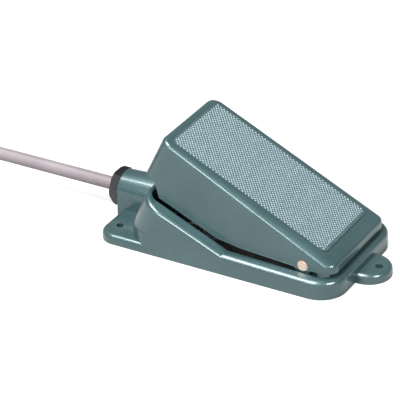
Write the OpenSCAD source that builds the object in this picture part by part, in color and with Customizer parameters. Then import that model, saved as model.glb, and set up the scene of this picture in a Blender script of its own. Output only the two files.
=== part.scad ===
// Heel-hinged foot switch: cast base, cast pedal, snap-action switch inside, cable out of the toe end.
// Millimetres, +Z up. The low heel end with the hinge faces -Y and the cable leaves toward +Y.
// Lengths along Y are counted from the base's front wall; frame() moves them to the part's origin.

/* [Base] */
// Width over the base walls
base_w = 76; // [72:1:80]
// Length of the base at the floor
base_l = 124; // [122:1:126]
// Radius of the base corners seen from above
base_corner = 15; // [13:1:16]
// Height of the rim at the heel end
heel_rim_z = 10.2; // [9.8:0.1:10.6]
// Height of the rim where it starts to climb
rim_z = 11.3; // [11:0.1:11.6]
// Where the rim starts to climb
bend_y = 65; // [63:1:67]
// Slope of the climbing rim and lean of the toe wall
rise_angle = 22.8; // [22:0.2:23.4]
// Rounding of the outer rim edge
rim_edge = 2.6; // [1.5:0.1:3]
// Thickness of the cast walls
wall = 3.5; // [3:0.1:4]
// Width of the flat rim band where it starts to climb
lip_w = 6.6; // [6.4:0.1:6.8]
// Thickness of the rim band
lip_t = 3.5; // [3:0.1:3.8]

/* [Fixing ears] */
// Thickness of the ears and of the toe flange
ear_t = 5.5; // [5:0.1:6]
// Rounding of their top edges
ear_edge = 2.4; // [1.4:0.1:2.6]
// Radius of the heel ear
ear_r = 12.5; // [11:0.5:13.5]
// How far the heel ear stands out
ear_reach = 14; // [13:0.5:15]
// How far the toe flange stands out
flange_reach = 17.2; // [16.5:0.1:17.5]
// Corner radius of the toe flange
flange_corner = 9.5; // [9:0.5:12]
// Fixing hole diameter
fix_hole_d = 4.2; // [4.2:0.1:4.8]
// Distance of the toe holes from the base's sides
fix_hole_inset = 11.5; // [10.5:0.5:12.5]

/* [Pedal] */
// Gap between the pedal and the rim on each side
pedal_gap = 1.4; // [1.2:0.1:1.6]
// How much narrower the pedal is on each side at its toe end than at the heel
pedal_taper = 2.2; // [1.8:0.1:2.4]
// How far the pedal's top stays inside the toe wall
pedal_back = 18.4; // [18.2:0.1:19]
// Slope of the top
incline = 25.5; // [25.2:0.1:25.8]
// Nose distance from the front wall
nose_y = 3.7; // [3.5:0.1:3.9]
// Height of the top at the nose
nose_z = 16.7; // [16.5:0.1:17]
// Height of the lower edge at the heel
skirt_z = 12.2; // [12:0.1:12.4]
// Wall thickness of the pedal
pedal_wall = 2.6; // [2.4:0.1:2.8]
// Rounding of the top edges
pedal_edge = 2.6; // [1.8:0.1:2.8]
// Rounding of the upright corners
pedal_corner = 6.5; // [5:0.5:7]
// Travel of the pedal in degrees
stroke = 4; // [3.5:0.1:4]

/* [Tread] */
// Margin beside the tread pad at the toe end
tread_side = 4.4; // [4.2:0.1:5]
// Margin between the tread pad and the heel edge
tread_front = 9; // [8.5:0.1:10]
// Depth of the recess that holds it
tread_recess = 0.8; // [0.6:0.1:1]
// Thickness of the pad
tread_t = 1.2; // [1.1:0.1:1.4]

/* [Hinge] */
// Pin distance from the front wall
pin_y = 21.4; // [21:0.1:21.8]
// Pin height
pin_z = 13.8; // [13.6:0.1:14]
// Pin diameter
pin_d = 6; // [5.5:0.1:6.2]
// Running clearance of the pin in the pedal
pin_clear = 0.05; // [0.03:0.01:0.08]

/* [Cable] */
// Cable jacket diameter
cord_d = 7.4; // [7.2:0.1:7.4]
// Height of the cable axis
cable_z = 12.9; // [12.7:0.1:13.1]
// Radius of the cast cable boss at the toe wall
boss_r = 11.9; // [11.5:0.1:12]
// Radius of the cable boss at its end
boss_end_r = 10.4; // [10.2:0.1:10.8]
// Length of the cable boss beyond the toe wall
boss_reach = 20.3; // [20:0.1:21]
// Width across flats of the gland screw
gland_af = 18.8; // [18:0.2:19.4]
// Thickness of the gland screw's head
gland_head = 5.5; // [5:0.1:6]

/* [Hidden] */

paint = [0.25, 0.42, 0.42];
tread_colour = [0.5, 0.62, 0.61];
steel = [0.68, 0.69, 0.71];
brass = [0.83, 0.66, 0.42];
black = [0.07, 0.07, 0.08];
cord_colour = [0.68, 0.64, 0.65];
far = 400;
embed = 1;

// Places that follow from the driving sizes
boss_end = base_l + boss_reach;
gland_end = boss_end + gland_head;
mid_y = (gland_end - ear_reach) / 2;
half_w = base_w / 2;
rim_rise = (rim_z - heel_rim_z) / (bend_y - base_corner);
level_end_z = rim_z + (base_l - base_corner - bend_y) * rim_rise;
climb_l = (base_l - bend_y) * cos(rise_angle) + (level_end_z - rim_z) * sin(rise_angle);
climb_depth = climb_l * tan(rise_angle);
opening_half = half_w - lip_w;
opening_taper = 0.012;
corner_step = 2.4;
pocket_half = half_w - wall;
pocket_corner = base_corner - wall;
pedal_l = (base_l - pedal_back - nose_y) / cos(incline);
pedal_half = opening_half - pedal_gap + pedal_taper / 2;
pedal_toe_half = pedal_half - pedal_taper;
pedal_pin_half = pedal_half - pedal_taper * (pin_y - nose_y) / (base_l - nose_y);
nose_top = nose_z + pedal_edge * ((1 - sin(incline)) * tan(incline) + 1 - cos(incline));
pedal_w = 2 * pedal_half;
pedal_inner = pedal_toe_half - pedal_wall;
tread_w = 2 * (pedal_toe_half - tread_side);
tread_back = 4.3;
tread_l = pedal_l - tread_back - tread_front;
fix_hole_pitch = base_w - 2 * fix_hole_inset;
ear_hole_step = 6;
ear_hole_y = ear_r - ear_reach - ear_hole_step;
flange_hole_step = 9;
flange_hole_y = base_l + flange_hole_step;
toe_lip = 3.2;
core_step = 0.2;
pedal_depth = 45;
skirt_step = 7;
skirt_mid_rise = 1.6;
skirt_bend_rise = 3.6;
skirt_end_inset = 17.2;
skirt_mid_y = bend_y - skirt_step;
skirt_mid_z = skirt_z + skirt_mid_rise;
skirt_bend_y = bend_y + skirt_step;
skirt_bend_z = skirt_z + skirt_bend_rise;
skirt_end_y = base_l - skirt_end_inset;
skirt_end_z = skirt_bend_z + (skirt_end_y - skirt_bend_y) * tan(rise_angle);
notch_inset = 14.7;
notch_h = 9.4;
notch_y = base_l - notch_inset;
notch_z = skirt_end_z + notch_h;
notch_rise = 15;
tread_corner = 4;
tread_gap = 0.2;

// Floor plate
plate_gap = 0.3;
plate_z = 1;
plate_t = 2;
plate_top = plate_z + plate_t;
part_gap = 0.05;
pillar_r = 5;
front_pillar_inset = 10.5;
rear_pillar_side = 9.2;
rear_pillar_back = 10.8;
front_pillar_x = half_w - front_pillar_inset;
front_pillar_y = front_pillar_inset;
rear_pillar_x = half_w - rear_pillar_side;
rear_pillar_y = base_l - rear_pillar_back;
rear_pillar_top = 11.8;
m4_d = 4;
m4_hole_d = 4.1;
csk_d = 7.6;
csk_h = 1.8;
screw_end_z = 7.6;
screw_hole_end_z = 8.2;
recess_w = 1;
recess_l = 4.2;
recess_deep = 0.9;

// Hinge lugs in the base and lobes on the pedal
lug_t = 5;
lug_gap = 0.3;
lug_x = pedal_inner - lug_gap - lug_t;
lug_r = 5;
lug_back = 5;
lug_foot_z = 9.5;
lug_base_z = 3.2;
lobe_r = 5;
lobe_in = 0.15;
pin_proud = 0.4;
pin_chamfer = 0.5;

// Rest stop at the heel and down stop in the middle
ledge_half = 17;
ledge_end = 13;
ledge_top = 6;
rest_pad_half = 8;
rest_pad_y = 8;
rest_pad_l = 4;
rest_pad_t = 1.5;
tongue_half = 6;
tongue_y = 7.6;
tongue_l = 4;
rest_gap = 0.05;
pin_fit = 0.01;
stop_y = 44;
stop_r = 6;
stop_h = 8;
stop_plug_r = 2.4;
stop_post_r = 5;
stop_post_z = 13;

// Return springs on both sides of the switch
spring_inset = 6.8;
spring_x = pedal_inner - spring_inset;
spring_y = 92.6;
spring_r = 5.2;
spring_wire = 1.3;
spring_curls = 7;
spring_top_z = 30;
spring_post_r = 5.5;
spring_nib_r = 3.4;
spring_nib_h = 4;
spring_boss_r = 3.6;
spring_boss_h = 2.5;

// Adjusting screw under the pedal
adjust_y = 90;
adjust_boss_r = 5;
adjust_boss_z = 48.2;
m5_d = 5;
m5_hole_d = 5.1;
m5_af = 8;
m5_nut_h = 3.6;
adjust_head_h = 2.8;
adjust_tip_h = 0.8;
adjust_tip_r = 3;
adjust_tip_z = 40.87;
adjust_top_z = 54.2;
adjust_hole_top = 54.6;

// Snap-action switch
switch_y = 58;
switch_l = 27.8;
switch_h = 15.9;
switch_half = 5.15;
switch_z = 17.3;
switch_split = 10.4;
switch_hole_d = 3.2;
switch_hole_z = 3;
switch_hole_y = 2.8;
switch_hole_pitch = 22.2;
lever_y = 61.5;
lever_z = 35.2;
lever_angle = 9.6;
lever_half = 2;
lever_l = 33;
lever_t = 0.8;
lever_eye_r = 1.6;
lever_pin_r = 0.8;
lever_ear_t = 1;
lever_ear_r = 1.7;
lever_clear = 0.04;
plunger_y = 66.5;
plunger_r = 1.5;
plunger_top = 35.3;
plunger_deep = 4;
plunger_clear = 0.08;
tab_w = 4.75;
tab_t = 0.5;
tab_l = 7.5;
tab_first = 3.8;
tab_step = 10.5;
tab_inside = 1;
m3_d = 3;
m3_head_r = 2.7;
m3_head_h = 2;
m3_af = 5.5;
m3_nut_h = 2.4;
m3_end = 0.6;

// Bracket that holds the switch
bracket_t = 1.5;
bracket_l = 29;
bracket_top = 30;
bracket_foot = 7;
bracket_hole_x = 4.5;
bracket_hole_step = 9;
bracket_screw_h = 3.4;
bracket_csk_d = 5.6;
bracket_csk_h = 1.4;

// Leads and their fittings
lead_d = 2.2;
receptacle_t = 3.2;
receptacle_w = 6;
receptacle_h = 8;
receptacle_z = 9;
barrel_r = 1.9;
barrel_l = 5;
barrel_z = 12;
earth_side = 9.5;
earth_back = 20;
earth_x = half_w - earth_side;
earth_y = base_l - earth_back;
earth_pad_z = 7;
earth_pad_h = 5;
earth_pad_r = 5;
earth_screw_l = 4;
earth_head_r = 3.5;
earth_head_h = 2.4;
lug_plate_t = 0.8;
lug_plate_r = 4;
lug_hole_r = 2.2;
lug_barrel_l = 6;
lug_barrel_r = 1.7;

// Cable entry
gland_thread_d = 17;
cord_clear = 0.5;
entry_clear = 0.8;
gland_bore_d = cord_d + 2 * cord_clear;
gland_bore_l = 12.4;
gland_bore_end = boss_end - gland_bore_l;
seal_seat_d = 15.8;
seal_seat_step = 1.5;
seal_seat_y = base_l - seal_seat_step;
seal_d = 15.4;
seal_bore_d = cord_d + 2 * part_gap;
seal_l = 7.8;
washer_t = 1.4;
entry_d = cord_d + 2 * entry_clear;
gland_chamfer = 1.2;
gland_corner_cut = 0.5;
cord_in_back = 6.5;
lead_cord_gap = 0.15;
cord_in_y = base_l - cord_in_back;
lead_end_y = cord_in_y - lead_cord_gap;

// Cable route, points chosen by hand; the coil's start and end close the two routes
cord_route = [
  [0, cord_in_y, cable_z], [0, boss_end, cable_z], [0, 180, cable_z], [0, 210, cable_z],
  [0, 224, cable_z], [0, 232, 12.7], [0.8, 240, 11.4], [3.2, 248, 8.8], [7, 255.5, 6.2],
  [11.6, 262, 4.8]
];
tail_route = [
  [30, 288.1, 28.4], [34.2, 299.5, 26.4], [35.3, 312.2, 23], [31.9, 325.8, 18.8],
  [24.1, 337.6, 14.4], [12.4, 347.4, 9.8], [-1.6, 353.5, 6], [-16.8, 355.4, 4],
  [-30, 353.5, 3.75]
];
lead_steps = 4;
cord_sides = 12;
lead_sides = 8;

// Coil: layers climb in the half turn where the spiral reverses
coil_x = -15.8;
coil_y = 300.4;
coil_turn = -37;
coil_z = 4.45;
coil_sides = 6;
coil_rings = 24;
coil_layers = 4;
coil_layer_turns = 1.5;
coil_outer_r = 45;
coil_pitch = 8.1;
coil_layer_h = 8.1;
coil_straight = 8;
climb_turns = 0.5;
tie_t = 0.6;
tie_w = 7;
tie_gap = 0.15;

// Routes of the three leads inside the base
lead_start_y = 90.8;
function lead_y(share) = lead_start_y + share * (lead_end_y - lead_start_y);
supply_route = [
  [0, lead_y(0), 12], [0, lead_y(0.25), 12.2], [0, lead_y(0.5), 13], [0, lead_y(0.75), 14.1],
  [0, lead_y(0.93), 14.5], [0, lead_y(1), 14.5]
];
switched_route = [
  [-6.6, 72.3, 12], [-8.4, 72.9, 12], [-9, 75.6, 12], [-7.4, 80, 12], [-6, 85, 12],
  [-5.7, lead_y(0), 12], [-5.7, lead_y(0.3), 12], [-4.8, lead_y(0.6), 12.1],
  [-2.4, lead_y(0.8), 12.1], [-1.4, lead_y(0.93), 12.1], [-1.4, lead_y(1), 12.1]
];
earth_end_x = earth_x - lug_plate_r - lug_barrel_l;
earth_route = [
  [earth_end_x, earth_y, 13.8], [0.76 * earth_end_x, earth_y + 0.4, 13.8],
  [0.49 * earth_end_x, earth_y + 3, 13.4], [0.27 * earth_end_x, earth_y + 7, 12.7],
  [0.11 * earth_end_x, earth_y + 10.3, 12.2], [1.4, earth_y + 12, 12.1],
  [1.4, lead_end_y, 12.1]
];

// Three cores at the far end of the cable
core_routes = [
  [[-30.3, 353.4, 5.35], [-35.9, 352.4, 5.1], [-43.8, 351, 3.8], [-51.6, 349.5, 2],
    [-59.5, 348, 1.2]],
  [[-30.6, 354.9, 2.95], [-36.3, 354.5, 2.6], [-44.6, 355.3, 1.8], [-52.9, 356.4, 1.2],
    [-61.2, 357.3, 1.2]],
  [[-30.2, 351.9, 2.95], [-35.5, 350.3, 2.6], [-43, 346.6, 1.8], [-50.4, 342.6, 1.2],
    [-57.8, 338.8, 1.2]]
];
ferrule_d = 1.7;
ferrule_l = 8;

// Helpers
module frame() {
  translate([0, -mid_y, 0]) children();
}

// A post with a rounded top edge, for hulls
module round_post(r, h, edge) {
  rotate_extrude($fn = 64)
    polygon(concat([[0, 0], [r, 0]],
      [for (a = [0:15:90]) [r - edge + edge * cos(a), h - edge + edge * sin(a)]],
      [[0, h]]));
}

// Flat rounded rectangle from exact circles and squares, near corner at [-w/2, 0]
module round_rect(w, l, r) {
  translate([-w / 2 + r, 0]) square([w - 2 * r, l]);
  translate([-w / 2, r]) square([w, l - 2 * r]);
  for (x = [-w / 2 + r, w / 2 - r])
    for (y = [r, l - r])
      translate([x, y]) circle(r = r, $fn = 64);
}

// The same, narrowing from w0 at its near end to w1 at its far end
module taper_rect(w0, w1, l, r) {
  near = w0 / 2 - r;
  distant = w1 / 2 - r;
  lean = atan((near - distant) / (l - 2 * r));
  sx = r * cos(lean);
  sy = r * sin(lean);
  polygon([
    [-near - sx, r + sy], [near + sx, r + sy],
    [distant + sx, l - r + sy], [-distant - sx, l - r + sy]
  ]);
  polygon([[-near, 0], [near, 0], [distant, l], [-distant, l]]);
  for (s = [-1, 1]) {
    translate([s * near, r]) circle(r = r, $fn = 64);
    translate([s * distant, l - r]) circle(r = r, $fn = 64);
  }
}

module hex_bar(af, h) {
  cylinder(d = af / cos(30), h = h, $fn = 6);
}

module climb_frame() {
  translate([0, bend_y, rim_z]) rotate([rise_angle, 0, 0]) children();
}

module pedal_frame() {
  translate([0, nose_y, nose_z]) rotate([incline, 0, 0]) children();
}

module side_profile(points, half) {
  translate([-half, 0, 0]) rotate([90, 0, 90]) linear_extrude(2 * half) polygon(points);
}

module bar_x(d, half) {
  translate([-half, 0, 0]) rotate([0, 90, 0]) cylinder(d = d, h = 2 * half, $fn = 64);
}

module bar_y(d, from, to) {
  translate([0, from, 0]) rotate([-90, 0, 0]) cylinder(d = d, h = to - from, $fn = 64);
}

// Tube swept along points: each ring stands square to the path
function unit(v) = v / norm(v);
function heading(p, i) = unit(p[min(i + 1, len(p) - 1)] - p[max(i - 1, 0)]);
function side_of(t) = unit(cross(t, [0, 0, 1]));
function ring_at(p, i, r, n) =
  let (t = heading(p, i), s = side_of(t), u = cross(s, t))
  [for (k = [0:n - 1]) p[i] + r * (cos(360 * k / n) * s + sin(360 * k / n) * u)];
function spline_at(a, b, c, d, t) =
  0.5 * ((2 * b) + (c - a) * t + (2 * a - 5 * b + 4 * c - d) * t * t
  + (3 * b - a - 3 * c + d) * t * t * t);
function smooth(p, n) = concat(
  [for (i = [0:len(p) - 2]) for (k = [0:n - 1])
    spline_at(p[max(i - 1, 0)], p[i], p[i + 1], p[min(i + 2, len(p) - 1)], k / n)],
  [p[len(p) - 1]]);

module tube(p, d, n) {
  rings = [for (i = [0:len(p) - 1]) each ring_at(p, i, d / 2, n)];
  last = (len(p) - 1) * n;
  polyhedron(
    points = rings,
    faces = concat(
      [[for (k = [0:n - 1]) k]],
      [for (i = [0:len(p) - 2]) for (k = [0:n - 1])
        each let (a = i * n + k, b = i * n + (k + 1) % n)
        [[a, a + n, b + n], [a, b + n, b]]],
      [[for (k = [n - 1:-1:0]) last + k]]),
    convexity = 10);
}

// Spring wire: flat for half a curl at both ends
function curl_share(t) = min(max((t - 0.5) / (spring_curls - 1), 0), 1);
spring_low = plate_top + spring_wire / 2 + part_gap;
spring_high = spring_top_z - spring_wire / 2 - part_gap;
function spring_path() = [
  for (i = [0:8 * spring_curls])
    let (t = i / 8)
    [spring_r * cos(360 * t), spring_r * sin(360 * t),
      spring_low + (spring_high - spring_low) * curl_share(t)]
];

// Coil of cable: radius runs in and out between layers, height climbs at each reversal
function ease(t) = let (c = min(max(t, 0), 1)) c * c * (3 - 2 * c);
function coil_radius(a) =
  let (k = min(floor(a / coil_layer_turns), coil_layers - 1), f = a / coil_layer_turns - k)
  coil_outer_r - coil_pitch * coil_layer_turns * (k % 2 == 0 ? f : 1 - f);
function climb_share(a, j) = ease((a - j * coil_layer_turns) / climb_turns + 0.5);
function coil_height(a) =
  coil_z + coil_layer_h * ([for (j = [1:coil_layers - 1]) climb_share(a, j)] * [1, 1, 1]);
coil_turns = coil_layers * coil_layer_turns;
function coil_point(a) = [
  coil_x + coil_radius(a) * cos(360 * a + coil_turn),
  coil_y + coil_radius(a) * sin(360 * a + coil_turn),
  coil_height(a)
];
coil_loops = [for (i = [0:coil_rings * coil_turns]) coil_point(i / coil_rings)];
coil_ahead = coil_straight * [-sin(coil_turn), cos(coil_turn), 0];
coil_start = coil_loops[0] - coil_ahead;
coil_end = coil_loops[len(coil_loops) - 1] + coil_ahead;
cord_path = smooth(concat(cord_route, [coil_start]), 3);
tail_path = smooth(concat([coil_end], tail_route), lead_steps);
coil_path = concat([coil_start], coil_loops, [coil_end]);
coil_gap = min([
  for (i = [0:len(coil_loops) - 1]) for (j = [i + coil_rings / 2:1:len(coil_loops) - 1])
    norm(coil_loops[i] - coil_loops[j])
]) - cord_d;
function path_length(p) = [for (i = [1:len(p) - 1]) norm(p[i] - p[i - 1])]
  * [for (i = [1:len(p) - 1]) 1];
echo(coil_least_gap = coil_gap);
echo(cord_lengths = [path_length(cord_path), path_length(coil_path), path_length(tail_path)]);

// Cast base: shell, ears and boss outside, then pocket and opening, then bosses and holes
module base_shell() {
  hull()
    for (s = [-1, 1]) {
      translate([s * (half_w - base_corner), base_corner, 0])
        round_post(base_corner, heel_rim_z, rim_edge);
      translate([s * (half_w - rim_edge), bend_y, 0]) round_post(rim_edge, rim_z, rim_edge);
    }
  hull()
    for (s = [-1, 1]) {
      translate([s * (half_w - rim_edge), bend_y, 0])
        cylinder(r = rim_edge, h = rim_z - rim_edge, $fn = 64);
      translate([s * (half_w - base_corner), base_l - base_corner, 0])
        cylinder(r = base_corner, h = level_end_z, $fn = 64);
    }
  intersection() {
    climb_frame() hull() {
      for (x = [-half_w + base_corner, half_w - base_corner])
        translate([x, climb_l - base_corner, -climb_depth])
          round_post(base_corner, climb_depth, rim_edge);
      for (x = [-half_w + rim_edge, half_w - rim_edge])
        translate([x, 0, -rim_edge]) round_post(rim_edge, rim_edge, rim_edge);
    }
    side_profile([
      [0, rim_z - rim_edge], [bend_y, rim_z - rim_edge], [base_l, level_end_z - core_step],
      [far, level_end_z - core_step], [far, far], [0, far]
    ], base_w);
  }
}

module toe_flange() {
  hull() {
    for (x = [-half_w + flange_corner, half_w - flange_corner])
      translate([x, base_l + flange_reach - flange_corner, 0])
        round_post(flange_corner, ear_t, ear_edge);
    for (x = [-half_w + ear_t, half_w - ear_t])
      translate([x, base_l - base_corner, 0]) round_post(ear_t, ear_t, ear_edge);
  }
}

module heel_ear() {
  hull()
    for (y = [ear_r - ear_reach, ear_r])
      translate([0, y, 0]) round_post(ear_r, ear_t, ear_edge);
}

module cable_boss() {
  start = base_l - 3 * wall;
  translate([0, start, cable_z]) rotate([-90, 0, 0])
    cylinder(r1 = boss_r, r2 = boss_end_r, h = boss_end - start, $fn = 64);
  linear_extrude(cable_z)
    polygon([[-boss_r, start], [boss_r, start], [boss_end_r, boss_end], [-boss_end_r, boss_end]]);
}

module base_pocket() {
  translate([0, wall, -embed])
    linear_extrude(heel_rim_z - lip_t + embed)
      round_rect(2 * pocket_half, base_l - 2 * wall, pocket_corner);
  climb_frame()
    translate([0, -climb_l / 2, -climb_depth + embed])
      linear_extrude(climb_depth - embed - lip_t)
        round_rect(2 * (pocket_half - core_step), climb_l * 3 / 2 - wall,
          pocket_corner - core_step);
}

module base_opening() {
  corner = base_corner - lip_w - corner_step;
  translate([0, lip_w, heel_rim_z - lip_t - embed])
    linear_extrude(2 * lip_t)
      taper_rect(2 * (opening_half + (bend_y - lip_w) * opening_taper),
        2 * (opening_half - lip_w * opening_taper), bend_y, corner);
  climb_frame()
    translate([0, -climb_l / 4, -lip_t - embed])
      linear_extrude(2 * lip_t)
        taper_rect(2 * (opening_half - core_step + climb_l / 4 * opening_taper),
          2 * (opening_half - core_step - climb_l * opening_taper),
          climb_l * 5 / 4 - toe_lip, corner - core_step);
}

module hinge_lug() {
  translate([lug_x, wall - embed, lug_base_z])
    cube([lug_t, pin_y + lug_back - wall + embed, lug_foot_z - lug_base_z]);
  translate([lug_x, pin_y - lug_r, lug_base_z])
    cube([lug_t, 2 * lug_r, pin_z - lug_base_z]);
  translate([lug_x, pin_y, pin_z]) rotate([0, 90, 0]) cylinder(r = lug_r, h = lug_t, $fn = 64);
}

module plate_pillars() {
  for (s = [-1, 1]) {
    translate([s * front_pillar_x, front_pillar_y, plate_top])
      cylinder(r = pillar_r, h = heel_rim_z - lip_t - plate_top + embed, $fn = 48);
    translate([s * rear_pillar_x, rear_pillar_y, plate_top])
      cylinder(r = pillar_r, h = rear_pillar_top - plate_top, $fn = 48);
  }
}

module at_plate_screws() {
  for (s = [-1, 1]) {
    translate([s * front_pillar_x, front_pillar_y, 0]) children();
    translate([s * rear_pillar_x, rear_pillar_y, 0]) children();
  }
}

module base_casting() {
  color(paint) frame() difference() {
    union() {
      difference() {
        union() {
          base_shell();
          toe_flange();
          heel_ear();
          cable_boss();
        }
        base_pocket();
        base_opening();
      }
      hinge_lug();
      mirror([1, 0, 0]) hinge_lug();
      plate_pillars();
      translate([-ledge_half, wall - embed, lug_base_z])
        cube([2 * ledge_half, ledge_end - wall + embed, ledge_top - lug_base_z]);
      translate([earth_x, earth_y, earth_pad_z])
        cylinder(r = earth_pad_r, h = earth_pad_h, $fn = 48);
      translate([earth_x, earth_y - earth_pad_r, earth_pad_z])
        cube([pocket_half + embed - earth_x, 2 * earth_pad_r, earth_pad_h]);
    }
    translate([0, pin_y, pin_z]) bar_x(pin_d + 2 * pin_fit, opening_half);
    translate([0, ear_hole_y, -embed]) cylinder(d = fix_hole_d, h = far, $fn = 48);
    for (s = [-1, 1])
      translate([s * fix_hole_pitch / 2, flange_hole_y, -embed])
        cylinder(d = fix_hole_d, h = far, $fn = 48);
    at_plate_screws()
      translate([0, 0, plate_top - embed])
        cylinder(d = m4_hole_d, h = screw_hole_end_z - plate_top + embed, $fn = 48);
    translate([earth_x, earth_y, earth_pad_z - embed])
      cylinder(d = m4_hole_d, h = far, $fn = 48);
    translate([0, 0, cable_z]) {
      bar_y(gland_thread_d + 2 * part_gap, gland_bore_end, boss_end + embed);
      bar_y(seal_seat_d, seal_seat_y, boss_end);
      bar_y(entry_d, base_l - 3 * wall, boss_end);
    }
  }
}

// Cast pedal: block with an upright nose, cut below, hollow, with posts underneath
module pedal_block() {
  hull()
    for (s = [-1, 1]) {
      translate([s * (pedal_half - pedal_corner), nose_y + pedal_corner, 0])
        round_post(pedal_corner, nose_top, pedal_edge);
      pedal_frame()
        translate([s * (pedal_toe_half - pedal_corner), pedal_l - pedal_corner, -pedal_depth])
          round_post(pedal_corner, pedal_depth, pedal_edge);
    }
}

module below_pedal() {
  side_profile([
    [-far, -far], [-far, skirt_z], [pin_y + lobe_r, skirt_z], [skirt_mid_y, skirt_mid_z],
    [skirt_bend_y, skirt_bend_z], [skirt_end_y, skirt_end_z],
    [notch_y, notch_z], [far, notch_z + (far - notch_y) * tan(notch_rise)], [far, -far]
  ], pedal_w);
}

module pedal_cavity() {
  intersection() {
    pedal_frame()
      translate([-pedal_inner, -far, -far])
        cube([2 * pedal_inner, far + pedal_l - pedal_wall, far - pedal_wall]);
    translate([-pedal_w, nose_y + pedal_wall, -far]) cube([2 * pedal_w, far, 2 * far]);
  }
}

module pedal_posts() {
  intersection() {
    union() {
      for (s = [-1, 1])
        translate([s * spring_x, spring_y, 0]) {
          translate([0, 0, spring_top_z]) cylinder(r = spring_post_r, h = far, $fn = 48);
          translate([0, 0, spring_top_z - spring_nib_h])
            cylinder(r = spring_nib_r, h = far, $fn = 48);
        }
      translate([0, adjust_y, adjust_boss_z]) cylinder(r = adjust_boss_r, h = far, $fn = 48);
      translate([0, stop_y, stop_post_z]) cylinder(r = stop_post_r, h = far, $fn = 48);
      translate([-tongue_half, tongue_y, ledge_top + rest_pad_t + rest_gap])
        cube([2 * tongue_half, tongue_l, far]);
      translate([-tongue_half, nose_y + pedal_wall / 2, skirt_z])
        cube([2 * tongue_half, tongue_y + tongue_l - nose_y - pedal_wall / 2, far]);
    }
    pedal_frame()
      translate([-pedal_half, -far, -far])
        cube([pedal_w, far + pedal_l - pedal_wall, far - pedal_wall / 2]);
  }
}

module pedal_casting() {
  color(paint) frame() difference() {
    union() {
      difference() {
        union() {
          difference() {
            pedal_block();
            below_pedal();
          }
          for (x = [-pedal_pin_half + lobe_in, pedal_inner - embed])
            translate([x, pin_y, pin_z]) rotate([0, 90, 0])
              cylinder(r = lobe_r, h = pedal_pin_half - lobe_in - pedal_inner + embed, $fn = 64);
        }
        pedal_cavity();
      }
      pedal_posts();
    }
    pedal_frame()
      translate([0, pedal_l - tread_back - tread_l - tread_gap, -tread_recess])
        linear_extrude(far)
          round_rect(tread_w + 2 * tread_gap, tread_l + 2 * tread_gap, tread_corner);
    translate([0, pin_y, pin_z]) bar_x(pin_d + 2 * pin_clear, pedal_w);
    translate([0, adjust_y, adjust_boss_z - embed])
      cylinder(d = m5_hole_d, h = adjust_hole_top - adjust_boss_z + embed, $fn = 48);
  }
}

module tread_pad() {
  color(tread_colour) frame() pedal_frame()
    translate([0, pedal_l - tread_back - tread_l, -tread_recess])
      linear_extrude(tread_t)
        round_rect(tread_w, tread_l, tread_corner - tread_gap);
}

module pivot_pin() {
  color(brass) frame() translate([0, pin_y, pin_z]) {
    bar_x(pin_d, pedal_pin_half + pin_proud - pin_chamfer);
    bar_x(pin_d - 2 * pin_chamfer, pedal_pin_half + pin_proud);
  }
}

module return_springs() {
  color(steel) frame()
    for (s = [-1, 1])
      translate([s * spring_x, spring_y, 0]) tube(spring_path(), spring_wire, 6);
}

module rest_buffer() {
  color(black) frame()
    translate([-rest_pad_half, rest_pad_y, ledge_top])
      cube([2 * rest_pad_half, rest_pad_l, rest_pad_t]);
}

module stop_buffer() {
  color(black) frame() {
    translate([0, stop_y, plate_top]) cylinder(r = stop_r, h = stop_h, $fn = 48);
    translate([0, stop_y, plate_z]) cylinder(r = stop_plug_r, h = plate_t + embed, $fn = 48);
  }
}

module csk_screw(d, head_d, head_h, from, to) {
  difference() {
    union() {
      translate([0, 0, from]) cylinder(d1 = head_d, d2 = d, h = head_h, $fn = 48);
      translate([0, 0, from]) cylinder(d = d, h = to - from, $fn = 48);
    }
    for (a = [0, 90])
      rotate([0, 0, a])
        translate([-recess_l / 2, -recess_w / 2, from - embed])
          cube([recess_l, recess_w, recess_deep + embed]);
  }
}

module csk_hole(d, head_d, head_h) {
  translate([0, 0, plate_z]) cylinder(d1 = head_d + 2 * part_gap, d2 = d, h = head_h, $fn = 48);
  translate([0, 0, plate_z - embed]) cylinder(d = d, h = plate_t + 2 * embed, $fn = 48);
}

bracket_x = switch_half + bracket_t + bracket_hole_x;
switch_mid_y = switch_y + switch_l / 2;

module at_bracket_screws() {
  for (s = [-1, 1])
    translate([bracket_x - bracket_t, switch_mid_y + s * bracket_hole_step, 0]) children();
}

module bottom_plate() {
  color(steel) frame() difference() {
    union() {
      translate([0, wall + plate_gap, plate_z])
        linear_extrude(plate_t)
          round_rect(2 * (pocket_half - plate_gap), base_l - 2 * (wall + plate_gap),
            pocket_corner - plate_gap);
      for (s = [-1, 1])
        translate([s * spring_x, spring_y, plate_z])
          cylinder(r = spring_boss_r, h = plate_t + spring_boss_h, $fn = 48);
    }
    at_plate_screws() csk_hole(m4_hole_d, csk_d, csk_h);
    at_bracket_screws() csk_hole(m3_d + 2 * part_gap, bracket_csk_d, bracket_csk_h);
    translate([0, stop_y, plate_z - embed])
      cylinder(r = stop_plug_r, h = plate_t + 2 * embed, $fn = 48);
  }
}

module bottom_plate_screws() {
  color(steel) frame()
    at_plate_screws() csk_screw(m4_d, csk_d, csk_h, plate_z, screw_end_z);
}

module adjusting_screw() {
  tip_ball_r = (pow(adjust_tip_r, 2) + pow(adjust_tip_h, 2)) / (2 * adjust_tip_h);
  head_z = adjust_tip_z + adjust_tip_h;
  color(steel) frame() translate([0, adjust_y, 0]) {
    translate([0, 0, head_z]) hex_bar(m5_af, adjust_head_h);
    translate([0, 0, head_z]) cylinder(d = m5_d, h = adjust_top_z - head_z, $fn = 48);
    intersection() {
      translate([0, 0, adjust_tip_z + tip_ball_r]) sphere(r = tip_ball_r, $fn = 64);
      translate([0, 0, adjust_tip_z]) cylinder(r = adjust_tip_r, h = adjust_tip_h, $fn = 48);
    }
  }
}

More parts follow.
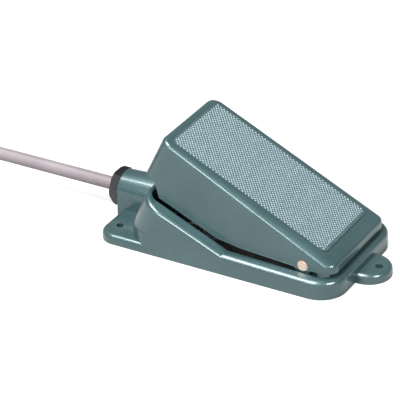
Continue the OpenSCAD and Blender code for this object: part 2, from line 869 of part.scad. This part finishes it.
module adjusting_lock_nut() {
  color(steel) frame()
    translate([0, adjust_y, adjust_boss_z - m5_nut_h]) difference() {
      hex_bar(m5_af, m5_nut_h);
      translate([0, 0, -embed]) cylinder(d = m5_hole_d, h = m5_nut_h + 2 * embed, $fn = 48);
    }
}

module at_switch_holes() {
  for (k = [0, 1])
    translate([0, switch_y + switch_hole_y + k * switch_hole_pitch, switch_z + switch_hole_z])
      children();
}

module at_tabs(list) {
  for (k = list)
    translate([0, switch_y + tab_first + k * tab_step, 0]) children();
}

module switch_case() {
  color(black) frame() difference() {
    translate([-switch_half, switch_y, switch_z])
      cube([2 * switch_half, switch_l, switch_split]);
    at_switch_holes() bar_x(switch_hole_d, switch_half + embed);
    at_tabs([0, 1, 2])
      translate([-tab_t / 2 - part_gap, -tab_w / 2 - part_gap, switch_z - embed])
        cube([tab_t + 2 * part_gap, tab_w + 2 * part_gap, tab_inside + embed]);
  }
}

module switch_cover() {
  top = switch_z + switch_h;
  color([0.55, 0.12, 0.1]) frame() difference() {
    union() {
      translate([-switch_half, switch_y, switch_z + switch_split])
        cube([2 * switch_half, switch_l, switch_h - switch_split]);
      for (x = [-lever_half - lever_ear_t - part_gap, lever_half + part_gap]) {
        translate([x, lever_y - lever_ear_r, top - embed])
          cube([lever_ear_t, 2 * lever_ear_r, lever_z - top + embed]);
        translate([x, lever_y, lever_z]) rotate([0, 90, 0])
          cylinder(r = lever_ear_r, h = lever_ear_t, $fn = 32);
      }
    }
    translate([0, lever_y, lever_z]) bar_x(2 * (lever_pin_r + pin_fit), switch_half);
    translate([0, plunger_y, switch_z])
      cylinder(r = plunger_r + plunger_clear, h = far, $fn = 32);
  }
}

module switch_plunger() {
  color([0.8, 0.78, 0.7]) frame()
    translate([0, plunger_y, plunger_top - plunger_deep])
      cylinder(r = plunger_r, h = plunger_deep, $fn = 32);
}

module switch_lever() {
  color(steel) frame() translate([0, lever_y, lever_z]) difference() {
    union() {
      bar_x(2 * lever_eye_r, lever_half);
      rotate([lever_angle, 0, 0])
        translate([-lever_half, 0, -lever_t / 2]) cube([2 * lever_half, lever_l, lever_t]);
    }
    bar_x(2 * (lever_pin_r + lever_clear), lever_half + embed);
  }
}

module lever_pin() {
  color(steel) frame()
    translate([0, lever_y, lever_z]) bar_x(2 * lever_pin_r, lever_half + lever_ear_t + part_gap);
}

module switch_terminals() {
  color(brass) frame()
    at_tabs([0, 1, 2])
      translate([-tab_t / 2, -tab_w / 2, switch_z - tab_l])
        cube([tab_t, tab_w, tab_l + tab_inside]);
}

module switch_bracket() {
  color(steel) frame() difference() {
    translate([switch_half, switch_mid_y - bracket_l / 2, plate_top]) union() {
      cube([bracket_t, bracket_l, bracket_top - plate_top]);
      cube([bracket_t + bracket_foot, bracket_l, bracket_t]);
    }
    at_switch_holes() bar_x(switch_hole_d, base_w);
    at_bracket_screws()
      translate([0, 0, plate_top - embed])
        cylinder(d = m3_d + 2 * part_gap, h = bracket_t + 2 * embed, $fn = 32);
  }
}

module bracket_screws() {
  color(steel) frame()
    at_bracket_screws()
      csk_screw(m3_d, bracket_csk_d, bracket_csk_h, plate_z, plate_z + bracket_screw_h);
}

module switch_screws() {
  shank = switch_half + bracket_t + m3_nut_h + m3_end;
  color(steel) frame()
    at_switch_holes() {
      translate([-switch_half - m3_head_h, 0, 0]) rotate([0, 90, 0])
        cylinder(r = m3_head_r, h = m3_head_h, $fn = 48);
      translate([-switch_half - embed, 0, 0]) rotate([0, 90, 0])
        cylinder(d = m3_d, h = switch_half + shank + embed, $fn = 48);
    }
}

module switch_nuts() {
  color(steel) frame()
    at_switch_holes()
      translate([switch_half + bracket_t, 0, 0]) rotate([0, 90, 0]) difference() {
        hex_bar(m3_af, m3_nut_h);
        translate([0, 0, -embed])
          cylinder(d = m3_d + 2 * part_gap, h = m3_nut_h + 2 * embed, $fn = 48);
      }
}

module lead_receptacles() {
  color([0.75, 0.2, 0.15]) frame() {
    at_tabs([1, 2]) difference() {
      translate([-receptacle_t / 2, -receptacle_w / 2, receptacle_z])
        cube([receptacle_t, receptacle_w, receptacle_h]);
      translate([-tab_t / 2 - part_gap, -tab_w / 2 - part_gap, switch_z - tab_l - part_gap])
        cube([tab_t + 2 * part_gap, tab_w + 2 * part_gap, far]);
    }
    at_tabs([1])
      translate([-receptacle_t / 2 - barrel_l, 0, barrel_z]) rotate([0, 90, 0])
        cylinder(r = barrel_r, h = barrel_l, $fn = 32);
    at_tabs([2])
      translate([0, receptacle_w / 2, barrel_z]) rotate([-90, 0, 0])
        cylinder(r = barrel_r, h = barrel_l, $fn = 32);
  }
}

module supply_lead() {
  color([0.45, 0.25, 0.12]) frame() tube(smooth(supply_route, lead_steps), lead_d, lead_sides);
}

module switched_lead() {
  color([0.1, 0.25, 0.6]) frame() tube(smooth(switched_route, lead_steps), lead_d, lead_sides);
}

module earth_lead() {
  color([0.35, 0.6, 0.2]) frame() tube(smooth(earth_route, lead_steps), lead_d, lead_sides);
}

module earth_lug() {
  top = earth_pad_z + earth_pad_h;
  color(steel) frame() translate([earth_x, earth_y, top]) {
    difference() {
      cylinder(r = lug_plate_r, h = lug_plate_t, $fn = 48);
      translate([0, 0, -embed]) cylinder(r = lug_hole_r, h = lug_plate_t + 2 * embed, $fn = 48);
    }
    translate([-lug_plate_r - lug_barrel_l, 0, lug_barrel_r + 2 * part_gap])
      rotate([0, 90, 0]) cylinder(r = lug_barrel_r, h = lug_barrel_l + lug_gap, $fn = 32);
  }
}

module earth_screw() {
  seat = earth_pad_z + earth_pad_h + lug_plate_t;
  color(brass) frame() translate([earth_x, earth_y, seat]) difference() {
    union() {
      cylinder(r = earth_head_r, h = earth_head_h, $fn = 48);
      translate([0, 0, -earth_screw_l - lug_plate_t])
        cylinder(d = m4_d, h = earth_screw_l + lug_plate_t + embed, $fn = 48);
    }
    translate([-earth_head_r - embed, -recess_w / 2, earth_head_h - recess_deep])
      cube([2 * (earth_head_r + embed), recess_w, recess_deep + embed]);
  }
}

module gland_screw() {
  color(black) frame() translate([0, 0, cable_z]) difference() {
    union() {
      bar_y(gland_thread_d, gland_bore_end + part_gap, boss_end + embed);
      intersection() {
        translate([0, boss_end, 0]) rotate([-90, 0, 0]) hex_bar(gland_af, gland_head);
        translate([0, boss_end, 0]) rotate([-90, 0, 0])
          cylinder(r1 = gland_af / 2 + gland_head, r2 = gland_af / 2 + gland_corner_cut,
            h = gland_head, $fn = 64);
      }
    }
    bar_y(gland_bore_d, gland_bore_end - embed, gland_end + embed);
    translate([0, gland_end - gland_chamfer, 0]) rotate([-90, 0, 0])
      cylinder(d1 = gland_bore_d, d2 = gland_bore_d + 3 * gland_chamfer,
        h = gland_chamfer + part_gap, $fn = 64);
  }
}

module ring_y(outer, bore, from, length) {
  translate([0, 0, cable_z]) difference() {
    bar_y(outer, from, from + length);
    bar_y(bore, from - embed, from + length + embed);
  }
}

module gland_washer() {
  color(steel) frame() ring_y(seal_d, gland_bore_d, gland_bore_end - washer_t, washer_t);
}

module gland_seal() {
  color(black) frame() ring_y(seal_d, seal_bore_d, seal_seat_y + part_gap, seal_l);
}

module power_cord() {
  color(cord_colour) frame() tube(cord_path, cord_d, cord_sides);
}

module cord_coil() {
  color(cord_colour) frame() tube(coil_path, cord_d, coil_sides);
}

module coil_tie() {
  inner_r = coil_outer_r - coil_pitch * coil_layer_turns - cord_d / 2 - tie_gap;
  outer_r = coil_outer_r - coil_pitch * coil_layer_turns / 3 + cord_d / 2 + tie_gap;
  low = coil_z - cord_d / 2 - tie_gap / 2;
  high = coil_z + coil_layer_h * (coil_layers - 1) + cord_d / 2 + tie_gap;
  color(black) frame() translate([coil_x, coil_y, 0]) rotate([0, 0, coil_turn]) difference() {
    translate([-outer_r - tie_t, -tie_w / 2, low - tie_t])
      cube([outer_r - inner_r + 2 * tie_t, tie_w, high - low + 2 * tie_t]);
    translate([-outer_r, -tie_w / 2 - embed, low])
      cube([outer_r - inner_r, tie_w + 2 * embed, high - low]);
  }
}

module cord_tail() {
  color(cord_colour) frame() tube(tail_path, cord_d, cord_sides);
}

module cord_end_cores() {
  color([0.4, 0.3, 0.25]) frame()
    for (route = core_routes) tube(smooth(route, lead_steps), lead_d, lead_sides);
}

module core_ferrules() {
  color(steel) frame()
    for (route = core_routes)
      let (last = route[len(route) - 1], t = heading(smooth(route, lead_steps),
        (len(route) - 1) * lead_steps))
      tube([last, last + ferrule_l / 2 * t, last + ferrule_l * t], ferrule_d, lead_sides);
}

base_casting();
pedal_casting();
tread_pad();
pivot_pin();
return_springs();
rest_buffer();
stop_buffer();
bottom_plate();
bottom_plate_screws();
adjusting_screw();
adjusting_lock_nut();
switch_case();
switch_cover();
switch_plunger();
switch_lever();
lever_pin();
switch_terminals();
switch_bracket();
bracket_screws();
switch_screws();
switch_nuts();
lead_receptacles();
supply_lead();
switched_lead();
earth_lead();
earth_lug();
earth_screw();
gland_screw();
gland_washer();
gland_seal();
power_cord();
cord_coil();
coil_tie();
cord_tail();
cord_end_cores();
core_ferrules();
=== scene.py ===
import math

import bmesh
import bpy
from mathutils import Matrix, Vector


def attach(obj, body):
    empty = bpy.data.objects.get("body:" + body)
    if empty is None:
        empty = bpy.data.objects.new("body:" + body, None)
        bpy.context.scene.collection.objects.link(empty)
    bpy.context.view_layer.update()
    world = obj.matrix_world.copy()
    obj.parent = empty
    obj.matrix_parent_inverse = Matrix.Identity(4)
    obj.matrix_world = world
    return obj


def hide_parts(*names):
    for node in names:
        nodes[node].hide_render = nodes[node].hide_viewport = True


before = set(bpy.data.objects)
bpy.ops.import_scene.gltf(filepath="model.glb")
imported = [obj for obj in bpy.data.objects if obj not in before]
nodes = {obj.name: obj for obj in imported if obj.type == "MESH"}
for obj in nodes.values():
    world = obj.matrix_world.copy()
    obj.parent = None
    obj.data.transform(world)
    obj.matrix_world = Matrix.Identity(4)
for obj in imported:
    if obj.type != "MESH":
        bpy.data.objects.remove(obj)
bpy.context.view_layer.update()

MM = 0.001
MID_Y = 67.9  # the origin, counted from the base's front wall as in the CAD source


def at(x, y, z):
    """A point counted from the front wall in mm, as a point of the shared frame in metres."""
    return Vector((x, y - MID_Y, z)) * MM


# Camera at the photograph's angle
CAMERA_PLACE = (-0.96888, -0.52413, 0.64857)
CAMERA_RIGHT = (0.48973, -0.87175, -0.01463)
CAMERA_BACK = (-0.75523, -0.43254, 0.49249)
camera_data = bpy.data.cameras.new("camera")
camera_data.lens = 216.1
camera_data.sensor_width = 36.0
camera_data.clip_start = 0.05
camera_data.clip_end = 20.0
camera = bpy.data.objects.new("camera", camera_data)
bpy.context.scene.collection.objects.link(camera)
right = Vector(CAMERA_RIGHT).normalized()
back = Vector(CAMERA_BACK).normalized()
up = back.cross(right).normalized()
right = up.cross(back).normalized()
camera.matrix_world = Matrix.Translation(CAMERA_PLACE) @ Matrix(
    (right, up, back)
).transposed().to_4x4()
bpy.context.scene.camera = camera


# Materials
def material(name):
    m = bpy.data.materials.new(name)
    m.use_nodes = True
    tree = m.node_tree
    tree.nodes.clear()
    out = tree.nodes.new("ShaderNodeOutputMaterial")
    shader = tree.nodes.new("ShaderNodeBsdfPrincipled")
    tree.links.new(shader.outputs["BSDF"], out.inputs["Surface"])
    return m, tree, shader


def node(tree, kind, **values):
    n = tree.nodes.new(kind)
    for key, value in values.items():
        if key in n.inputs:
            n.inputs[key].default_value = value
        else:
            setattr(n, key, value)
    return n


def noise(tree, scale, detail=3.0, rough=0.5):
    """Noise in the shared frame, so it stays on the part. scale is in waves a metre."""
    where = node(tree, "ShaderNodeTexCoord")
    n = node(tree, "ShaderNodeTexNoise", Scale=scale, Detail=detail, Roughness=rough)
    tree.links.new(where.outputs["Object"], n.inputs["Vector"])
    return n


def ramp(tree, source, stops):
    r = node(tree, "ShaderNodeValToRGB")
    while len(r.color_ramp.elements) < len(stops):
        r.color_ramp.elements.new(0.5)
    for e, (place, colour) in zip(r.color_ramp.elements, stops):
        e.position = place
        e.color = (*colour, 1.0)
    tree.links.new(source, r.inputs["Fac"])
    return r


def grey_ramp(tree, source, low, high, start=0.3, end=0.7):
    return ramp(tree, source, [(start, (low,) * 3), (end, (high,) * 3)])


def bump(tree, shader, parts):
    """parts: (height output, depth in metres, strength), each laid on the one before."""
    previous = None
    for source, depth, strength in parts:
        b = node(tree, "ShaderNodeBump", Strength=strength, Distance=depth)
        tree.links.new(source, b.inputs["Height"])
        if previous:
            tree.links.new(previous.outputs["Normal"], b.inputs["Normal"])
        previous = b
    tree.links.new(previous.outputs["Normal"], shader.inputs["Normal"])


def srgb(r, g, b):
    def lin(c):
        c /= 255.0
        return c / 12.92 if c <= 0.04045 else ((c + 0.055) / 1.055) ** 2.4

    return (lin(r), lin(g), lin(b))


def plain(name, dark, light, scale, rough, metallic=0.0, grain=900, depth=0.00002):
    """A finish of two close tones, uneven gloss and a fine grain."""
    m, tree, s = material(name)
    tone = noise(tree, scale, 4.0, 0.55)
    c = ramp(tree, tone.outputs["Fac"], [(0.35, dark), (0.65, light)])
    tree.links.new(c.outputs["Color"], s.inputs["Base Color"])
    fine = noise(tree, grain, 2.0, 0.5)
    r = grey_ramp(tree, fine.outputs["Fac"], rough[0], rough[1])
    tree.links.new(r.outputs["Color"], s.inputs["Roughness"])
    s.inputs["Metallic"].default_value = metallic
    bump(tree, s, [(fine.outputs["Fac"], depth, 0.5)])
    return m


def enamel():
    """Grey-green metallic enamel over a casting, with fine flakes and soft waves."""
    m, tree, s = material("enamel")
    wide = noise(tree, 28, 3.0, 0.5)
    flakes = noise(tree, 2600, 1.0, 0.5)
    base = ramp(tree, wide.outputs["Fac"], [
        (0.3, srgb(60, 88, 91)), (0.7, srgb(70, 98, 101))])
    glint = ramp(tree, flakes.outputs["Fac"], [
        (0.42, (0.7, 0.72, 0.72)), (0.72, (1.4, 1.45, 1.45))])
    mix = node(tree, "ShaderNodeMix", data_type="RGBA", blend_type="MULTIPLY")
    mix.inputs["Factor"].default_value = 0.5
    tree.links.new(base.outputs["Color"], mix.inputs["A"])
    tree.links.new(glint.outputs["Color"], mix.inputs["B"])
    tree.links.new(mix.outputs["Result"], s.inputs["Base Color"])
    r = grey_ramp(tree, wide.outputs["Fac"], 0.3, 0.38)
    tree.links.new(r.outputs["Color"], s.inputs["Roughness"])
    s.inputs["Metallic"].default_value = 0.4
    s.inputs["Coat Weight"].default_value = 1.0
    s.inputs["Coat Roughness"].default_value = 0.15
    s.inputs["Coat IOR"].default_value = 1.6
    skin = noise(tree, 420, 2.0, 0.5)
    bump(tree, s, [(skin.outputs["Fac"], 0.00006, 0.5), (wide.outputs["Fac"], 0.0004, 0.35)])
    return m


ENAMEL = enamel()
# Tread pad and its bumps: the bump tops are coloured much lighter than the ground between them.
# This is a painted highlight on the tops and painted shade in the ground.
TREAD = plain("tread_ground_painted_shade", srgb(62, 82, 86), srgb(74, 94, 98), 160, (0.45, 0.6), 0.1,
              1500, 0.00003)
BUMP_TOPS_PAINTED_HIGHLIGHT = plain("tread_tops_painted_highlight", srgb(128, 149, 154), srgb(150, 170, 174), 700, (0.3, 0.42), 0.1,
              1500, 0.00002)
PIN = plain("pin_metal", srgb(216, 190, 172), srgb(238, 214, 198), 500, (0.25, 0.4), 0.6)
STEEL = plain("bright_steel", (0.42, 0.42, 0.43), (0.55, 0.55, 0.57), 90, (0.22, 0.38), 1.0)
# The return springs are coloured near-black as painted shade, standing for the shadow in the gap
# between the pedal and the rim where they sit.
SPRING_PAINTED_SHADE = plain("spring_steel_painted_shade", (0.05, 0.05, 0.055), (0.085, 0.085, 0.09), 150, (0.4, 0.55),
               0.6)
ZINC = plain("zinc_plate", (0.44, 0.45, 0.47), (0.6, 0.61, 0.62), 120, (0.3, 0.5), 0.95)
RUBBER = plain("black_rubber", (0.012, 0.012, 0.013), (0.022, 0.022, 0.024), 60, (0.6, 0.8),
               0.0, 1400)
BLACK = plain("black_plastic", srgb(12, 16, 20), srgb(22, 28, 33), 80, (0.3, 0.42), 0.0, 1100)
RED = plain("red_plastic", (0.2, 0.015, 0.012), (0.28, 0.025, 0.018), 60, (0.38, 0.5))
CREAM = plain("cream_plastic", (0.55, 0.5, 0.38), (0.66, 0.6, 0.48), 60, (0.25, 0.35))
BRASS = plain("tab_brass", (0.5, 0.34, 0.12), (0.64, 0.46, 0.2), 150, (0.25, 0.4), 1.0)
SLEEVE = plain("sleeve", (0.35, 0.03, 0.02), (0.45, 0.05, 0.03), 90, (0.25, 0.35))
BROWN = plain("brown_insulation", (0.075, 0.03, 0.012), (0.11, 0.045, 0.02), 60, (0.3, 0.4))
BLUE = plain("blue_insulation", (0.01, 0.035, 0.2), (0.02, 0.06, 0.3), 60, (0.3, 0.4))
GREEN = plain("green_insulation", (0.05, 0.16, 0.02), (0.08, 0.23, 0.03), 60, (0.3, 0.4))
JACKET = plain("cable_jacket", srgb(126, 117, 121), srgb(138, 129, 133), 40, (0.42, 0.55), 0.0,
               1300, 0.00003)
TIE = plain("tie_strap", (0.012, 0.012, 0.014), (0.02, 0.02, 0.022), 70, (0.35, 0.5))
TINNED = plain("tinned", (0.5, 0.5, 0.49), (0.62, 0.61, 0.59), 120, (0.28, 0.42), 1.0)

FINISH = {
    "base_casting": ENAMEL, "pedal_casting": ENAMEL, "tread_pad": TREAD, "pivot_pin": PIN,
    "return_springs": SPRING_PAINTED_SHADE, "rest_buffer": RUBBER, "stop_buffer": RUBBER,
    "bottom_plate": ZINC, "bottom_plate_screws": STEEL, "adjusting_screw": STEEL,
    "adjusting_lock_nut": STEEL, "switch_case": BLACK, "switch_cover": RED,
    "switch_plunger": CREAM, "switch_lever": STEEL, "lever_pin": STEEL,
    "switch_terminals": BRASS, "switch_bracket": ZINC, "bracket_screws": STEEL,
    "switch_screws": STEEL, "switch_nuts": STEEL, "lead_receptacles": SLEEVE,
    "supply_lead": BROWN, "switched_lead": BLUE, "earth_lead": GREEN, "earth_lug": ZINC,
    "earth_screw": BRASS, "gland_screw": BLACK, "gland_washer": ZINC, "gland_seal": RUBBER,
    "power_cord": JACKET, "cord_coil": JACKET, "coil_tie": TIE, "cord_tail": JACKET,
    "cord_end_cores": BROWN, "core_ferrules": TINNED,
}
for name, finish in FINISH.items():
    o = nodes[name]
    if o.material_slots:
        for s in o.material_slots:
            s.material = finish
    else:
        o.data.materials.append(finish)

# Smooth faces with crisp edges, and a small bevel where the light catches
for name, o in nodes.items():
    for p in o.data.polygons:
        p.use_smooth = True
    o.data.set_sharp_from_angle(angle=math.radians(35))
for name, width in (("switch_case", 0.3), ("switch_cover", 0.3), ("gland_screw", 0.35),
                    ("tread_pad", 0.25), ("pivot_pin", 0.2), ("coil_tie", 0.25),
                    ("switch_bracket", 0.2), ("bottom_plate", 0.25)):
    b = nodes[name].modifiers.new("edge", "BEVEL")
    b.width = width * MM
    b.segments = 2
    b.limit_method = "ANGLE"
    b.angle_limit = math.radians(40)
    b.harden_normals = True


def link(o):
    bpy.context.scene.collection.objects.link(o)
    return o


# Cable
CORD_D = 7.4
CORD_ROUTE = [
    (0, 117.5, 12.9), (0, 144.3, 12.9), (0, 180, 12.9), (0, 210, 12.9), (0, 224, 12.9),
    (0, 232, 12.7), (0.8, 240, 11.4), (3.2, 248, 8.8), (7, 255.5, 6.2), (11.6, 262, 4.8)]
TAIL_ROUTE = [
    (30, 288.1, 28.4), (34.2, 299.5, 26.4), (35.3, 312.2, 23), (31.9, 325.8, 18.8),
    (24.1, 337.6, 14.4), (12.4, 347.4, 9.8), (-1.6, 353.5, 6), (-16.8, 355.4, 4),
    (-30, 353.5, 3.75)]
COIL_X, COIL_Y, COIL_Z, COIL_TURN = -15.8, 300.4, 4.45, -37.0
LAYERS, LAYER_TURNS, OUTER_R, PITCH, LAYER_H, STRAIGHT, CLIMB = 4, 1.5, 45.0, 8.1, 8.1, 8.0, 0.5


def ease(t):
    c = min(max(t, 0.0), 1.0)
    return c * c * (3 - 2 * c)


def coil_point(a):
    k = min(int(math.floor(a / LAYER_TURNS + 1e-9)), LAYERS - 1)
    f = a / LAYER_TURNS - k
    r = OUTER_R - PITCH * LAYER_TURNS * (f if k % 2 == 0 else 1 - f)
    z = COIL_Z + LAYER_H * sum(ease((a - j * LAYER_TURNS) / CLIMB + 0.5) for j in range(1, LAYERS))
    t = math.radians(360 * a + COIL_TURN)
    return (COIL_X + r * math.cos(t), COIL_Y + r * math.sin(t), z)


def spline(points, steps):
    p = [Vector(q) for q in points]
    out = []
    for i in range(len(p) - 1):
        a, b, c, d = p[max(i - 1, 0)], p[i], p[i + 1], p[min(i + 2, len(p) - 1)]
        for k in range(steps):
            t = k / steps
            out.append(0.5 * ((2 * b) + (c - a) * t + (2 * a - 5 * b + 4 * c - d) * t * t
                              + (3 * b - a - 3 * c + d) * t ** 3))
    return out + [p[-1]]


turns = LAYERS * LAYER_TURNS
loops = [Vector(coil_point(i / 36)) for i in range(int(36 * turns) + 1)]
turn = math.radians(COIL_TURN)
ahead = STRAIGHT * Vector((-math.sin(turn), math.cos(turn), 0))
coil_start, coil_end = loops[0] - ahead, loops[-1] + ahead
line = (spline(CORD_ROUTE + [tuple(coil_start)], 4)[:-1] + [coil_start] + loops
        + spline([tuple(coil_end)] + TAIL_ROUTE, 5))
line = [at(*p) for p in line]


def tube_curve(name, points, diameter, finish, resolution=6):
    c = bpy.data.curves.new(name, "CURVE")
    c.dimensions = "3D"
    c.bevel_depth = diameter / 2
    c.bevel_resolution = resolution
    c.use_fill_caps = True
    s = c.splines.new("POLY")
    s.points.add(len(points) - 1)
    for q, p in zip(s.points, points):
        q.co = (*p, 1.0)
    s.use_smooth = True
    o = link(bpy.data.objects.new(name, c))
    c.materials.append(finish)
    return o


cable = tube_curve("cable", line, CORD_D * MM, JACKET)
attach(cable, "base")
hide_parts("power_cord", "cord_coil", "cord_tail")

# The three cores in their own colours, in place of the plain ones
CORES = [
    [(-30, 353.5, 5.35), (-35.9, 352.4, 5.1), (-43.8, 351, 3.8), (-51.6, 349.5, 2),
     (-59.5, 348, 1.2)],
    [(-30.3, 354.9, 2.95), (-36.3, 354.5, 2.6), (-44.6, 355.3, 1.8), (-52.9, 356.4, 1.2),
     (-61.2, 357.3, 1.2)],
    [(-29.7, 352.1, 2.95), (-35.5, 350.3, 2.6), (-43, 346.6, 1.8), (-50.4, 342.6, 1.2),
     (-57.8, 338.8, 1.2)]]
for label, points, finish in zip(("brown", "blue", "green"), CORES, (BROWN, BLUE, GREEN)):
    core = tube_curve("core_" + label, [at(*p) for p in spline(points, 5)], 2.2 * MM, finish, 4)
    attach(core, "base")
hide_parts("cord_end_cores")

# Tread bumps
INCLINE = math.radians(25.5)
NOSE = (3.7, 16.7)
TREAD_W, TREAD_L, TREAD_END, TREAD_TOP, TREAD_CORNER = 49.0, 99.6, 108.6, 0.4, 3.8
STEP, ROW, DOT_R, DOT_H = 2.1, 1.05, 0.66, 0.5


def on_slope(x, u, w):
    """A point on the pedal's slope: x across, u up the slope, w above it, in mm."""
    return at(x, NOSE[0] + u * math.cos(INCLINE) - w * math.sin(INCLINE),
              NOSE[1] + u * math.sin(INCLINE) + w * math.cos(INCLINE))


def tread_bumps():
    """Rows of small domes, each row set half a step to the side of the last."""
    bm = bmesh.new()
    edge = DOT_R + 0.35
    for j in range(int(TREAD_L / ROW)):
        u = TREAD_END - TREAD_L + edge + j * ROW
        shift = STEP / 2 if j % 2 else 0.0
        for i in range(int(TREAD_W / STEP)):
            x = -TREAD_W / 2 + edge + i * STEP + shift
            if max(x, -x) > TREAD_W / 2 - edge or u > TREAD_END - edge:
                continue
            corner_x = max(0.0, abs(x) - TREAD_W / 2 + TREAD_CORNER)
            corner_u = max(0.0, u - TREAD_END + TREAD_CORNER,
                           TREAD_END - TREAD_L + TREAD_CORNER - u)
            if math.hypot(corner_x, corner_u) > TREAD_CORNER - edge:
                continue
            rings = []
            for r, h in ((DOT_R, -0.05), (DOT_R * 0.8, DOT_H * 0.6), (DOT_R * 0.4, DOT_H * 0.95)):
                rings.append([bm.verts.new(on_slope(x + r * math.cos(k * math.pi / 3),
                                                    u + r * math.sin(k * math.pi / 3),
                                                    TREAD_TOP + h)) for k in range(6)])
            for low, high in zip(rings, rings[1:]):
                for k in range(6):
                    bm.faces.new((low[k], low[(k + 1) % 6], high[(k + 1) % 6], high[k]))
            bm.faces.new(rings[-1])
            bm.faces.new(list(reversed(rings[0])))
    for f in bm.faces:
        f.smooth = True
    mesh = bpy.data.meshes.new("tread_bumps")
    bm.to_mesh(mesh)
    bm.free()
    # The bumps take the lighter tread-top colour, a painted highlight.
    mesh.materials.append(BUMP_TOPS_PAINTED_HIGHLIGHT)
    return link(bpy.data.objects.new("tread_bumps", mesh))


bumps = tread_bumps()
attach(bumps, "pedal")

# Floor, backdrop and light
def floor_material():
    m, tree, s = material("floor")
    s.inputs["Roughness"].default_value = 0.9
    s.inputs["Specular IOR Level"].default_value = 0.1
    tone = noise(tree, 6, 2.0)
    c = ramp(tree, tone.outputs["Fac"], [(0.3, (0.37, 0.37, 0.37)), (0.7, (0.39, 0.39, 0.39))])
    tree.links.new(c.outputs["Color"], s.inputs["Base Color"])
    glow = node(tree, "ShaderNodeEmission", Strength=0.7)
    glow.inputs["Color"].default_value = (1, 1, 1, 1)
    add = node(tree, "ShaderNodeAddShader")
    path = node(tree, "ShaderNodeLightPath")
    mix = node(tree, "ShaderNodeMixShader")
    out = next(n for n in tree.nodes if n.type == "OUTPUT_MATERIAL")
    tree.links.new(s.outputs["BSDF"], add.inputs[0])
    tree.links.new(glow.outputs["Emission"], add.inputs[1])
    tree.links.new(path.outputs["Is Camera Ray"], mix.inputs["Fac"])
    tree.links.new(s.outputs["BSDF"], mix.inputs[1])
    tree.links.new(add.outputs["Shader"], mix.inputs[2])
    tree.links.new(mix.outputs["Shader"], out.inputs["Surface"])
    return m


bm = bmesh.new()
bmesh.ops.create_circle(bm, cap_ends=True, segments=96, radius=6.0)
floor_mesh = bpy.data.meshes.new("floor")
bm.to_mesh(floor_mesh)
bm.free()
floor_mesh.materials.append(floor_material())
floor = link(bpy.data.objects.new("floor", floor_mesh))
floor.location = (0, 0, -0.0002)

world = bpy.data.worlds.new("studio")
bpy.context.scene.world = world
world.use_nodes = True
wt = world.node_tree
wt.nodes.clear()
w_out = wt.nodes.new("ShaderNodeOutputWorld")
soft = wt.nodes.new("ShaderNodeBackground")
soft.inputs["Color"].default_value = (0.93, 0.97, 1.0, 1)
soft.inputs["Strength"].default_value = 0.22
white = wt.nodes.new("ShaderNodeBackground")
white.inputs["Color"].default_value = (1, 1, 1, 1)
white.inputs["Strength"].default_value = 1.0
w_path = wt.nodes.new("ShaderNodeLightPath")
w_mix = wt.nodes.new("ShaderNodeMixShader")
wt.links.new(w_path.outputs["Is Camera Ray"], w_mix.inputs["Fac"])
wt.links.new(soft.outputs["Background"], w_mix.inputs[1])
wt.links.new(white.outputs["Background"], w_mix.inputs[2])
wt.links.new(w_mix.outputs["Shader"], w_out.inputs["Surface"])


def lamp(name, place, target, size, power, colour=(1, 1, 1)):
    data = bpy.data.lights.new(name, "AREA")
    data.shape = "RECTANGLE"
    data.size, data.size_y = size
    data.energy = power
    data.color = colour
    o = link(bpy.data.objects.new(name, data))
    o.location = place
    o.rotation_euler = (Vector(target) - Vector(place)).to_track_quat("-Z", "Y").to_euler()
    return o


lamp("top_soft", (-0.3, 0.35, 1.25), (0, 0, 0.03), (0.7, 0.7), 26.0)
lamp("side_strip", (-1.15, -0.05, 0.75), (0, 0, 0.03), (1.5, 0.3), 14.0)
lamp("heel_soft", (-0.45, -1.1, 0.8), (0, 0, 0.03), (0.6, 0.3), 11.0)

bpy.context.scene.view_settings.view_transform = "Standard"
